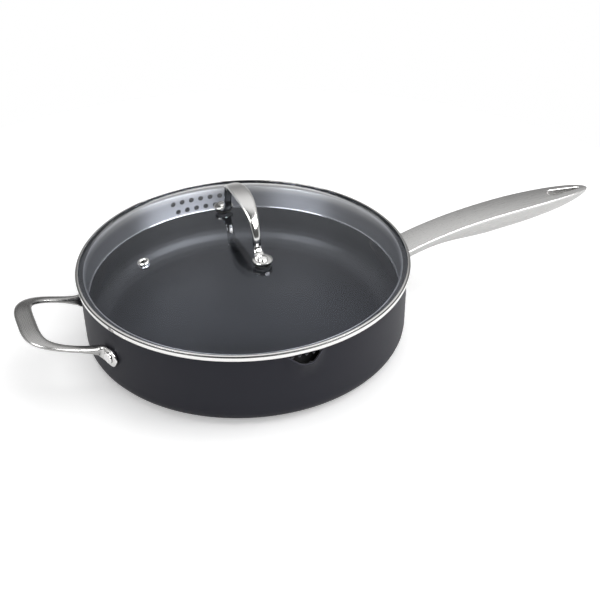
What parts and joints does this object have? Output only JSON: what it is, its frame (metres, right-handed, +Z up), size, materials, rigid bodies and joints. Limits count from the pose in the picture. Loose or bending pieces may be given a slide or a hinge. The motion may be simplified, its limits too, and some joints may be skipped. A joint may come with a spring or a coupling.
{
  "type": "deep frying pan with lid",
  "caption": "Deep straight-sided frying pan with a long riveted handle, a looped helper handle and a domed glass strainer lid that lifts off and turns to the pouring spouts.",
  "frame": {"origin": "middle of the base, on the surface that the pan stands on", "axes": "+X along the long handle, +Z up, the pouring spouts face +Y and -Y"},
  "size_m": [0.5504, 0.2954, 0.1362],
  "materials": {
    "anodised": "dark grey hard-anodised, matt",
    "base_steel": "turned",
    "satin_steel": "satin",
    "polished_steel": "polished",
    "clear_glass": "clear",
    "dark_silicone": "matt"
  },
  "bodies": {
    "pan": {"pan_body": "anodised", "base_disc": "base_steel", "long_handle": "satin_steel", "long_handle_rivet_front": "polished_steel", "long_handle_rivet_back": "polished_steel", "helper_handle": "satin_steel", "helper_rivet_front": "polished_steel", "helper_rivet_back": "polished_steel"},
    "lid_rim": {"lid_rim_ring": "polished_steel"},
    "lid": {"strainer_band": "polished_steel", "lid_glass": "clear_glass", "lid_handle": "satin_steel", "vent_eyelet": "polished_steel", "lid_rivet_front": "polished_steel", "lid_rivet_back": "polished_steel", "seat_washer_front": "dark_silicone", "seat_washer_back": "dark_silicone", "glass_seal_front": "dark_silicone", "glass_seal_back": "dark_silicone", "rivet_cup_front": "polished_steel", "rivet_cup_back": "polished_steel"}
  },
  "joints": [
    {"name": "lid_lift", "type": "slide", "parent": "pan", "child": "lid_rim", "axis": [0, 0, 1], "range_m": [0, 0.15]},
    {"name": "lid_turn", "type": "hinge", "parent": "lid_rim", "child": "lid", "pos_m": [0, 0, 0.0674], "axis": [0, 0, 1], "continuous": true}
  ]
}
